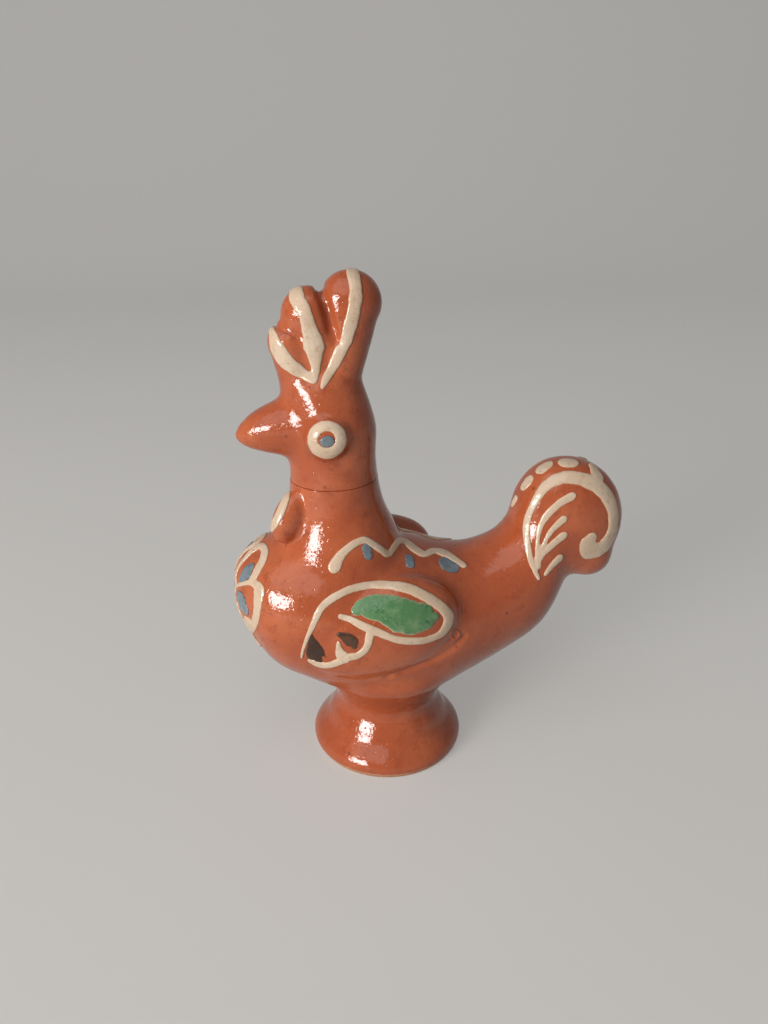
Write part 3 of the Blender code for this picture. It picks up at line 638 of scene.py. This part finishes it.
# Slip
# Trails: points in the picture's pixels with the trail's width there
def loop_points(x, y, radius_x, radius_y, width, count=14):
    return tuple((x + radius_x * math.cos(math.tau * k / count),
                  y + radius_y * math.sin(math.tau * k / count), width)
                 for k in range(count + 1))


TRAILS = {
    "comb_slip": (
        ((271.5, 329, 7), (273, 338, 11), (276, 348, 15.5), (283, 358.5, 17), (292, 366.5, 15),
         (303, 373.5, 11.5), (312, 379.5, 9)),
        ((295.5, 288, 14), (296, 295, 17), (298.5, 302, 16.5), (304, 311, 15), (307, 320, 14.5),
         (309.5, 330, 16.5), (312.5, 340, 21.5), (314.5, 348, 22), (315, 356, 16.5),
         (315.5, 364, 11), (315.5, 372, 9), (314, 380, 8)),
        ((352, 269, 13), (354.5, 280, 13.4), (356, 290, 13.2), (355.5, 300, 13.6), (354, 310, 13.4),
         (352, 320, 13.8), (349, 330, 13.8), (346, 340, 13.8), (341, 350, 13),
         (336.5, 360, 12), (331, 370, 10), (325.5, 380, 8), (322.5, 387, 4.5)),
    ),
    "eye_slip": (loop_points(326.9, 439.8, 14.6, 14.1, 11.4),),
    "wattle_slip": (
        ((287.5, 494, 7), (283, 505, 9), (279, 515, 9.5), (272, 528, 7.5)),
    ),
    "wing_slip": (
        ((301.8, 657, 2.2), (303, 650, 3), (304.8, 645, 3.4), (307.6, 637, 4.2),
         (310.8, 630, 5.4), (314.6, 621.5, 6.4), (318.6, 612.5, 7), (323, 606, 7.5),
         (332.5, 598.3, 8), (348.5, 590, 7.8), (360, 586.8, 8), (371, 585, 8.2),
         (381.5, 584.8, 8.6), (392.3, 585.3, 9.2), (407, 588, 10.2), (417.8, 592.3, 11),
         (431.7, 600, 10.4), (443.5, 609, 11), (449, 617.5, 12), (447, 626, 8.5),
         (440, 634.4, 6.8), (426, 639.8, 6.8), (414.4, 641, 7.4), (404, 640.6, 7.4),
         (394.2, 638.8, 7.4), (382.8, 634.2, 8), (373, 630, 8.4), (362, 625.5, 8),
         (350.5, 619.3, 6.6), (341, 616.6, 5.6)),
        ((371.5, 630, 8), (369.5, 637, 9), (367.8, 645, 7.4), (363.5, 651.5, 7), (357, 655.7, 6.8),
         (350, 657, 7.5), (343, 660, 8), (336, 663, 7.2), (328, 665.2, 6.2), (320, 664.6, 5.8),
         (313, 662, 4.4), (310, 660.6, 3)),
        ((338.6, 643, 3.8), (339, 648, 6.6), (340.8, 653.5, 11), (344, 657.5, 12)),
    ),
    "shoulder_slip": (
        ((334.6, 566.8, 13), (338, 559.8, 11), (344, 552, 8.6), (354, 544, 7.6), (364, 540, 7.2),
         (371, 543, 7), (380, 549, 7), (388, 554, 7), (394, 547, 7), (399, 541, 7), (407, 543, 7),
         (416, 550, 7), (425, 554, 7), (434, 551, 7), (445, 553.5, 7), (454, 559, 6.5),
         (463, 565, 5.5)),
    ),
    "tail_slip": (
        ((538.5, 578.5, 3.4), (534.2, 569, 5), (530.5, 559, 6), (527.3, 543, 6.8),
         (526.3, 530, 7.2), (527.8, 518, 7), (533, 505.5, 7.6), (542.3, 490, 10), (550, 483, 11.2),
         (558.5, 478.8, 12.6), (568, 477, 13.6), (583, 479.2, 14.4), (595, 485, 15),
         (605, 492.8, 15.2), (611.3, 504.5, 13), (613.6, 515, 11.4), (613.5, 524, 10.4),
         (611.5, 534, 10.6), (606, 544, 12), (598, 549.6, 14.5), (590, 550, 20.5),
         (587.5, 544.5, 17), (591, 538.6, 10)),
        ((572, 496.3, 8), (562, 501.7, 8), (554.3, 508, 7.6), (547.6, 514.7, 7.4),
         (542.6, 522, 6.6), (539.2, 530, 5.4), (537.8, 540, 4.4), (537.6, 548, 5),
         (538.4, 556, 6.4), (538, 566, 6.4)),
        ((563.5, 519.3, 7), (556.5, 525.6, 6.4), (550.5, 532.3, 5.6), (546, 540, 4.2),
         (542, 548.5, 4)),
        ((563.5, 535.5, 7.2), (557, 540.6, 6.8), (550, 547, 6.2), (544, 552.5, 5.8),
         (540, 558, 6)),
        ((559, 558.5, 6), (552.5, 565, 5), (545.5, 574, 3)),
        ((593, 467, 8), (597.5, 476, 10)),
    ),
    "breast_slip": (
        ((236.5, 583, 3.4), (236.3, 575, 3), (239.5, 566, 3), (246, 557.5, 4), (253.5, 549.5, 6),
         (261, 546, 8.4), (264.8, 550.5, 8.6), (263.3, 559.5, 7.4), (259.3, 567, 7),
         (255.3, 574.5, 6.8), (252, 580, 6.4)),
        ((235.8, 592, 3), (237, 586, 4), (244, 583.6, 4.6), (250.5, 582.5, 6), (257, 585.5, 10),
         (259, 592, 11.6), (258, 601, 9.4), (257.2, 611, 8.4), (255.5, 620, 9.2),
         (251.5, 630, 6.6), (244.5, 620, 5.6), (238.6, 612, 3.8), (236, 603, 3)),
        ((247, 619.5, 5), (249.5, 623, 10), (251, 628, 6)),
        ((251, 631, 5), (255.5, 638.5, 3.4), (259.5, 645, 2.2)),
    ),
}
FILLS = {
    "eye_blue": ("blue_slip", (
        ((326.4, 441.8, 12), (328.4, 441.6, 12)),
    )),
    "shoulder_blue": ("blue_slip", (
        ((367, 548.5, 10.5), (368.3, 555, 9.6)),
        ((409.5, 559, 10.6), (410, 563.6, 10.8)),
        ((447.5, 564.2, 14.5), (450, 565, 15)),
    )),
    "breast_blue": ("blue_slip", (
        ((251, 567, 6.5), (247, 572, 11.5), (241.8, 579, 8)),
        ((240.6, 600, 11.5), (242.2, 604, 13.5), (244.8, 608.5, 8.5)),
    )),
    "wing_green": ("green_slip", (
        ((357, 610, 11), (360.5, 608.2, 18), (370, 607.3, 26), (381, 607.8, 30.5),
         (391.6, 611, 35.5), (402, 615.5, 38.5), (412.7, 618, 36), (423, 617.4, 31.5),
         (431.5, 617.4, 22), (434.5, 617, 10)),
    )),
    "wing_brown": ("brown_slip", (
        ((311.3, 636, 4), (312.2, 640.5, 8.5), (314, 646, 14), (315.4, 651.5, 18.5),
         (316, 656, 20), (317.5, 658.5, 9)),
        ((339.5, 634.6, 5), (344.5, 636.6, 9), (349.5, 640, 13.5), (353.4, 643.4, 12),
         (354.4, 646, 6.5)),
    )),
    "burst_bubble": ("clay_glaze", (loop_points(455, 634.6, 4.4, 4.6, 2.3),)),
}
ONE_SIDED = ("burst_bubble",)
RIM_DABS = (((513.2, 503.5, 5), (515.6, 499, 5)), ((525, 485, 7.4), (528.3, 481, 7.4)),
            ((542.3, 468.6, 8.6), (547, 465.4, 8.6)), ((566.3, 462.4, 9), (570.5, 462.5, 9)))


class Trailer:
    """Lays slip on one side of the clay."""

    SPACING = 1.7       # pixels of the picture from ring to ring
    SPREAD = 0.8        # pixels by which slip spreads past its trail
    PROBE = 0.0005      # length that is looked at to turn pixels into metres
    LEAST_SHOWN = 0.6   # share of its plain width that a foreshortened trail keeps
    UNEVEN = 0.10       # share by which a hand-led trail swells and narrows
    FULLNESS = 0.75     # 1 for an elliptical section, less for a fuller one
    SIDES = 16
    TIP_STEPS = 4
    TIP_HALF = 0.00008

    def __init__(self, surface, side, offset):
        self.surface = surface
        self.side = side
        self.offset = offset

    def trail(self, bm, points, lift):
        """Bead of slip with a rounded section and round ends."""
        length = sum(math.dist(p[:2], q[:2]) for p, q in zip(points, points[1:]))
        path = smooth_path(points, max(2, round(length / self.SPACING / (len(points) - 1))))
        closed = (path[0] - path[-1]).length < 1e-3
        seats = [seat(self.surface, p.x, p.y) for p in path]
        rows = []
        for i, spot in enumerate(seats):
            ahead = seats[min(i + 1, len(seats) - 1)]
            behind = seats[max(i - 1, 0)]
            if closed and i in (0, len(seats) - 1):
                ahead, behind = seats[1], seats[-2]
            _, normal, _, _ = self.surface.find_nearest(spot)
            run = (ahead - behind).normalized()
            across = run.cross(normal).normalized()
            probe = across * self.PROBE
            shown = (in_picture(spot + probe) - in_picture(spot - probe)).length
            plain = FOCAL * 2 * self.PROBE / (spot - EYE_POINT).length
            uneven = 1 + self.UNEVEN * noise.noise(spot * 700)
            half = (uneven * (path[i].z + self.SPREAD) * self.PROBE
                    / max(shown, plain * self.LEAST_SHOWN))
            rows.append((spot, run, across, half))
        if not closed:
            rows = self.rounded(rows)
        rings = []
        for centre, _, across, half in rows:
            ring = bmesh.ops.create_circle(bm, cap_ends=False, segments=self.SIDES,
                                           radius=1)["verts"]
            for vert in ring:
                wide, high = vert.co.x, vert.co.y
                wide = math.copysign(abs(wide) ** self.FULLNESS, wide)
                high = math.copysign(abs(high) ** self.FULLNESS, high)
                place, normal = turned(self.surface, centre + across * wide * half, self.side,
                                       self.offset)
                vert.co = place + normal * high * (lift if high > 0 else SLIP_ROOT)
            rings.append(ring)
        bridge(bm, rings)

    def rounded(self, rows):
        """Rows of a path with a half circle of shorter rows at both ends."""
        out = list(rows)
        for end, sign in ((0, -1), (-1, 1)):
            spot, run, across, half = rows[end]
            cap = []
            for k in range(1, self.TIP_STEPS + 1):
                angle = math.pi / 2 * k / self.TIP_STEPS
                cap.append((spot + run * sign * half * math.sin(angle), run, across,
                            max(half * math.cos(angle), self.TIP_HALF)))
            out = cap[::-1] + out if end == 0 else out + cap
        return out


def make_slip(name, trails, surface, side, lift):
    bm = bmesh.new()
    trailer = Trailer(surface, side, moved_on(name, side))
    for points in trails:
        trailer.trail(bm, points, lift)
    obj = fused(name, bm, SLIP_GRID, SLIP_PASSES)
    obj.data.shade_smooth()
    thick = obj.data.attributes.new("thick", 'FLOAT', 'POINT')
    for vert in obj.data.vertices:
        place, normal, _, _ = surface.find_nearest(vert.co)
        thick.data[vert.index].value = (vert.co - place).dot(normal) / lift
    return obj


# Materials
class Nodes:
    """Short hand for building a node tree."""

    def __init__(self, tree):
        self.tree = tree

    def add(self, kind, values=None, **settings):
        node = self.tree.nodes.new(kind)
        for key, value in settings.items():
            setattr(node, key, value)
        for key, value in (values or {}).items():
            node.inputs[key].default_value = value
        return node

    def link(self, source, target):
        self.tree.links.new(source, target)

    def calc(self, operation, a, b):
        """Sum, product or other working of two numbers or sockets."""
        node = self.add('ShaderNodeMath', operation=operation)
        for socket, value in ((node.inputs[0], a), (node.inputs[1], b)):
            if isinstance(value, (int, float)):
                socket.default_value = value
            else:
                self.link(value, socket)
        return node.outputs[0]

    def noise(self, vector, scale, detail=3.0, roughness=0.55):
        node = self.add('ShaderNodeTexNoise', {"Scale": scale, "Detail": detail,
                                               "Roughness": roughness})
        self.link(vector, node.inputs["Vector"])
        return node.outputs["Fac"]

    def band(self, value, low, high):
        """0 below low, 1 above high, smooth between them."""
        node = self.add('ShaderNodeMapRange', {"From Min": low, "From Max": high},
                        interpolation_type='SMOOTHSTEP')
        self.link(value, node.inputs["Value"])
        return node.outputs["Result"]

    def mix(self, fac, a, b):
        node = self.add('ShaderNodeMix', data_type='RGBA')
        for socket, value in ((node.inputs[0], fac), (node.inputs[6], a), (node.inputs[7], b)):
            if isinstance(value, (tuple, float, int)):
                socket.default_value = value
            else:
                self.link(value, socket)
        return node.outputs[2]


def group(name, inputs, outputs):
    """Empty node group with named sockets, and its input and output nodes."""
    tree = bpy.data.node_groups.new(name, 'ShaderNodeTree')
    for socket, kind, value in inputs:
        made = tree.interface.new_socket(socket, in_out='INPUT', socket_type=kind)
        if value is not None:
            made.default_value = value
    for socket, kind in outputs:
        tree.interface.new_socket(socket, in_out='OUTPUT', socket_type=kind)
    nodes = Nodes(tree)
    return tree, nodes, nodes.add('NodeGroupInput'), nodes.add('NodeGroupOutput')


def glaze_pits():
    """Height and shine of a clear glaze: slow waves, orange peel and small burst bubbles."""
    tree, n, given, out = group(
        "glaze_pits", (("Vector", 'NodeSocketVector', None), ("Wave", 'NodeSocketFloat', 1.0),
                       ("Pits", 'NodeSocketFloat', 1.0)),
        (("Height", 'NodeSocketFloat'), ("Roughness", 'NodeSocketFloat')))
    at = given.outputs["Vector"]
    waves = n.noise(at, 230.0, 2.0)
    peel = n.noise(at, 1200.0, 2.0)
    cells = n.add('ShaderNodeTexVoronoi', {"Scale": 1150.0, "Randomness": 1.0})
    n.link(at, cells.inputs["Vector"])
    pick = n.band(cells.outputs["Color"], 0.62, 0.80)
    pit = n.band(cells.outputs["Distance"], 0.34, 0.10)
    pits = n.calc('MULTIPLY', n.calc('MULTIPLY', pit, pick), given.outputs["Pits"])
    soft = n.calc('MULTIPLY', n.calc('ADD', n.calc('MULTIPLY', waves, 0.9),
                                   n.calc('MULTIPLY', peel, 0.55)), given.outputs["Wave"])
    n.link(n.calc('SUBTRACT', soft, n.calc('MULTIPLY', pits, 0.30)), out.inputs["Height"])
    dull = n.noise(at, 60.0, 4.0)
    n.link(n.calc('ADD', n.calc('MULTIPLY', n.band(dull, 0.40, 0.72), 0.07),
                 n.calc('MULTIPLY', pits, 0.15)), out.inputs["Roughness"])
    return tree


def mottle():
    """Colour that drifts between three tones, with sparse specks."""
    tree, n, given, out = group(
        "mottle", (("Vector", 'NodeSocketVector', None), ("Scale", 'NodeSocketFloat', 1.0),
                   ("Middle", 'NodeSocketColor', (1, 1, 1, 1)),
                   ("Light", 'NodeSocketColor', (1, 1, 1, 1)),
                   ("Dark", 'NodeSocketColor', (0, 0, 0, 1)),
                   ("Speck", 'NodeSocketColor', (0, 0, 0, 1)),
                   ("Specks", 'NodeSocketFloat', 0.5)),
        (("Color", 'NodeSocketColor'),))
    sized = n.add('ShaderNodeVectorMath', operation='SCALE')
    n.link(given.outputs["Vector"], sized.inputs[0])
    n.link(given.outputs["Scale"], sized.inputs["Scale"])
    at = sized.outputs[0]
    broad = n.noise(at, 70.0, 5.0, 0.6)
    fine = n.noise(at, 420.0, 4.0, 0.65)
    grain = n.noise(at, 2600.0, 2.0)
    light = n.mix(n.band(broad, 0.44, 0.66), given.outputs["Middle"], given.outputs["Light"])
    drift = n.calc('ADD', n.calc('MULTIPLY', fine, 0.75), n.calc('MULTIPLY', grain, 0.25))
    dark = n.mix(n.band(drift, 0.50, 0.70), light, given.outputs["Dark"])
    cells = n.add('ShaderNodeTexVoronoi', {"Scale": 620.0})
    n.link(at, cells.inputs["Vector"])
    pick = n.band(cells.outputs["Color"], 0.86, 0.90)
    dot = n.band(cells.outputs["Distance"], 0.30, 0.12)
    mask = n.calc('MULTIPLY', n.calc('MULTIPLY', pick, dot), given.outputs["Specks"])
    n.link(n.mix(mask, dark, given.outputs["Speck"]), out.inputs["Color"])
    return tree


GLAZE_PITS = glaze_pits()
MOTTLE = mottle()


def glazed(name, middle, light, dark, speck, specks, scale, gloss, wave, pits, edge=None,
           foot=False):
    """Glazed clay, or slip that turns to its edge colour where it thins out.

    Gloss is the roughness where the glaze is clean.
    """
    material = bpy.data.materials.new(name)
    material.use_nodes = True
    n = Nodes(material.node_tree)
    shader = material.node_tree.nodes["Principled BSDF"]
    where = n.add('ShaderNodeTexCoord').outputs["Object"]
    tone = n.add('ShaderNodeGroup', node_tree=MOTTLE)
    skin = n.add('ShaderNodeGroup', node_tree=GLAZE_PITS)
    for key, value in (("Middle", middle), ("Light", light), ("Dark", dark), ("Speck", speck)):
        tone.inputs[key].default_value = (*value, 1)
    tone.inputs["Scale"].default_value = scale
    tone.inputs["Specks"].default_value = specks
    skin.inputs["Wave"].default_value = wave
    skin.inputs["Pits"].default_value = pits
    for node in (tone, skin):
        n.link(where, node.inputs["Vector"])
    colour = tone.outputs["Color"]
    rough = n.calc('ADD', skin.outputs["Roughness"], gloss)
    height = skin.outputs["Height"]
    if edge:
        thick = n.add('ShaderNodeAttribute', attribute_name="thick").outputs["Fac"]
        ragged = n.calc('ADD', thick, n.calc('MULTIPLY', n.noise(where, 1500.0, 2.0), 0.35))
        colour = n.mix(n.band(ragged, 0.35, 0.95), (*edge, 1), colour)
    # Foot: a matte unglazed band along the bottom edge; its paler orange colour is painted bounce
    # light from the table
    if foot:
        parts = n.add('ShaderNodeSeparateXYZ')
        n.link(where, parts.inputs[0])
        ragged = n.calc('ADD', parts.outputs["Z"],
                       n.calc('MULTIPLY', n.noise(where, 320.0, 4.0), -0.0016))
        bare_rim_and_bounce = n.band(ragged, 0.0009, 0.0005)
        grit = n.noise(where, 1400.0, 5.0, 0.7)
        # painted bounce light: paler orange clay tones for the band on the bottom edge
        clay = n.mix(n.band(grit, 0.35, 0.7), (0.50, 0.22, 0.11, 1), (0.66, 0.34, 0.19, 1))
        colour = n.mix(bare_rim_and_bounce, colour, clay)
        rough = n.calc('ADD', rough, n.calc('MULTIPLY', bare_rim_and_bounce, 0.6))
        height = n.calc('ADD', height, n.calc('MULTIPLY', n.calc('MULTIPLY', grit, bare_rim_and_bounce), 0.5))
    n.link(colour, shader.inputs["Base Color"])
    n.link(rough, shader.inputs["Roughness"])
    bump = n.add('ShaderNodeBump', {"Strength": BUMP_STRENGTH,
                                         "Distance": BUMP_HEIGHT})
    n.link(height, bump.inputs["Height"])
    n.link(bump.outputs["Normal"], shader.inputs["Normal"])
    shader.inputs["IOR"].default_value = GLAZE_IOR
    return material


MATERIALS = {
    "clay_glaze": glazed("clay_glaze", (0.44, 0.092, 0.030), (0.54, 0.130, 0.046),
                         (0.36, 0.070, 0.024), (0.10, 0.03, 0.015), 0.55, 0.8, 0.055, 0.6, 1.0,
                         foot=True),
    "cream_slip": glazed("cream_slip", (0.69, 0.505, 0.350), (0.76, 0.59, 0.43),
                         (0.60, 0.41, 0.26), (0.16, 0.09, 0.05), 0.75, 1.5, 0.13, 0.7, 0.7,
                         edge=(0.58, 0.30, 0.16)),
    "blue_slip": glazed("blue_slip", (0.155, 0.200, 0.228), (0.23, 0.275, 0.29),
                        (0.085, 0.120, 0.145), (0.02, 0.04, 0.06), 0.5, 2.0, 0.12, 0.8, 0.8,
                        edge=(0.12, 0.055, 0.035)),
    "green_slip": glazed("green_slip", (0.092, 0.225, 0.085), (0.19, 0.31, 0.145),
                         (0.03, 0.13, 0.055), (0.01, 0.05, 0.03), 0.8, 2.2, 0.10, 1.0, 1.0,
                         edge=(0.48, 0.42, 0.26)),
    "brown_slip": glazed("brown_slip", (0.048, 0.018, 0.007), (0.095, 0.038, 0.015),
                         (0.02, 0.010, 0.006), (0.01, 0.01, 0.01), 0.3, 2.4, 0.13, 0.8, 0.8,
                         edge=(0.14, 0.045, 0.020)),
    # Darker red-brown colour along the groove of the break round the neck
    "crack_dark": glazed("crack_dark", (0.170, 0.040, 0.017), (0.30, 0.065, 0.025),
                         (0.06, 0.018, 0.009), (0.01, 0.01, 0.01), 0.3, 3.0, 0.50, 0.3, 0.3),
}


# Pieces
def dress(obj, slot, *materials):
    """Give a piece its materials and its body; its slot argument is not used."""
    obj.data.materials.clear()
    for name in materials:
        obj.data.materials.append(MATERIALS[name])
    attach(obj, "root")


body = make_body()
shape = bmesh.new()
shape.from_mesh(body.data)
clay = BVHTree.FromBMesh(shape)
shape.free()
dress(body, "clay_glaze", "clay_glaze", "crack_dark")
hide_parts("bird_whistle")

for side, label in ((-1, "left"), (1, "right")):
    for name, trails in TRAILS.items():
        dabs = RIM_DABS if name == "tail_slip" and side < 0 else ()
        piece = make_slip("%s_%s" % (name, label), trails + dabs, clay, side, SLIP_LIFT)
        dress(piece, "cream_slip", "cream_slip")
    for name, (slot, trails) in FILLS.items():
        if side < 0 or name not in ONE_SIDED:
            piece = make_slip("%s_%s" % (name, label), trails, clay, side, FILL_LIFT)
            dress(piece, slot, slot)


# Studio
def seen_rays(n):
    """1 for the rays that show the studio itself, to the eye or in a reflection."""
    rays = n.add('ShaderNodeLightPath').outputs
    seen = n.calc('MAXIMUM', n.calc('MAXIMUM', rays["Is Camera Ray"], rays["Is Glossy Ray"]),
                 rays["Is Transmission Ray"])
    return seen, rays


def make_stage():
    """Pale floor that curves up into a backdrop, open when it is looked at from below."""
    bm = bmesh.new()
    reach, depth, curve, height = 1.6, 1.3, 0.45, 1.5
    start = bm.verts.new((-reach, -depth, 0))
    line = [start, bm.verts.new((-reach, depth - curve, 0))]
    bm.edges.new(line)
    spun = bmesh.ops.spin(bm, geom=[line[1]], cent=(0, depth - curve, curve), axis=(1, 0, 0),
                          dvec=(0, 0, 0), angle=math.pi / 2, steps=16)
    last = next(g for g in spun["geom_last"] if isinstance(g, bmesh.types.BMVert))
    top = bm.verts.new((-reach, depth, height))
    bm.edges.new((last, top))
    grown = bmesh.ops.extrude_edge_only(bm, edges=bm.edges[:])["geom"]
    moved = [v for v in grown if isinstance(v, bmesh.types.BMVert)]
    bmesh.ops.translate(bm, verts=moved, vec=(2 * reach, 0, 0))
    floor = new_object("floor", bm)
    bm = bmesh.new()
    bm.from_mesh(floor.data)
    if sum(f.normal.z for f in bm.faces) < 0:
        bmesh.ops.reverse_faces(bm, faces=bm.faces)
    bm.to_mesh(floor.data)
    bm.free()
    floor.data.shade_smooth()
    material = bpy.data.materials.new("pale_floor")
    material.use_nodes = True
    n = Nodes(material.node_tree)
    shader = material.node_tree.nodes["Principled BSDF"]
    shader.inputs["Base Color"].default_value = FLOOR_COLOUR
    shader.inputs["Roughness"].default_value = 0.85
    seen, rays = seen_rays(n)
    n.link(n.calc('MULTIPLY', seen, FLOOR_GLOW), shader.inputs["Emission Strength"])
    shader.inputs["Emission Color"].default_value = FLOOR_GLOW_COLOUR
    clear = n.add('ShaderNodeBsdfTransparent')
    pick = n.add('ShaderNodeMixShader')
    below = n.calc('MULTIPLY', n.add('ShaderNodeNewGeometry').outputs["Backfacing"],
                  rays["Is Camera Ray"])
    n.link(below, pick.inputs[0])
    n.link(shader.outputs[0], pick.inputs[1])
    n.link(clear.outputs[0], pick.inputs[2])
    n.link(pick.outputs[0], material.node_tree.nodes["Material Output"].inputs["Surface"])
    floor.data.materials.append(material)


def softbox(name, place, width, height, power):
    """Soft rectangular light that is aimed at the bird."""
    data = bpy.data.lights.new(name, 'AREA')
    data.shape = 'RECTANGLE'
    data.size = width
    data.size_y = height
    data.energy = power
    lamp = bpy.data.objects.new(name, data)
    lamp.location = place
    lamp.rotation_euler = (Vector(BIRD_MIDDLE) - Vector(place)).to_track_quat('-Z', 'Y').to_euler()
    bpy.context.collection.objects.link(lamp)


def make_world():
    """Plain air round the studio."""
    world = bpy.data.worlds.new("studio")
    world.use_nodes = True
    bpy.context.scene.world = world
    n = Nodes(world.node_tree)
    back = world.node_tree.nodes["Background"]
    back.inputs["Color"].default_value = AIR_COLOUR
    seen, _ = seen_rays(n)
    n.link(n.calc('ADD', n.calc('MULTIPLY', seen, AIR_GLOW), AIR_LIGHT), back.inputs["Strength"])


def make_camera():
    """Camera at the picture's own place, lens and heading."""
    data = bpy.data.cameras.new("camera")
    data.sensor_width = SENSOR
    data.sensor_fit = 'AUTO'
    data.lens = FOCAL * SENSOR / max(PICTURE)
    data.clip_start = 0.01
    data.clip_end = 20.0
    camera = bpy.data.objects.new("camera", data)
    camera.location = EYE_POINT
    camera.rotation_euler = (math.pi / 2 - EYE_PITCH, 0, -EYE_HEADING)
    bpy.context.collection.objects.link(camera)
    bpy.context.scene.camera = camera


make_stage()
for box in SOFTBOXES:
    softbox(*box)
make_world()
make_camera()
bpy.context.scene.view_settings.view_transform = 'Standard'
